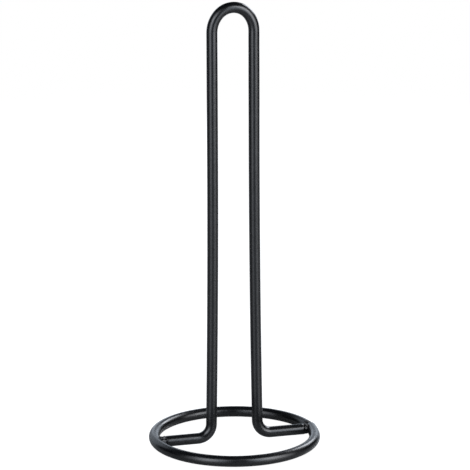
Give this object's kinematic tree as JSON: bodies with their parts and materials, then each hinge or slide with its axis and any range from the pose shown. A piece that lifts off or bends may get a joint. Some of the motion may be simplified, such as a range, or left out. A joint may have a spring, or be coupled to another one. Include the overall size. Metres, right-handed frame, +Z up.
{
  "type": "paper towel holder",
  "caption": "Free-standing paper towel holder: a tall narrow loop of round black steel bar, its feet turned out and welded inside a flat base ring.",
  "frame": {"origin": "centre of the base ring, on the surface that it stands on", "axes": "+Z up, along the loop; +X along the feet, towards the foot that is beside the seam closing the ring; +Y to the back, square to the loop"},
  "size_m": [0.1232, 0.1232, 0.3205],
  "materials": {
    "powder_coat": "satin black powder coat with a fine grain",
    "coated_weld": "powder-coated weld, rougher and duller than the bar"
  },
  "bodies": {
    "root": {"base_ring": "powder_coat", "upright_loop": "powder_coat", "weld_left_foot": "coated_weld", "weld_right_foot": "coated_weld", "weld_ring_seam": "coated_weld"}
  },
  "joints": []
}
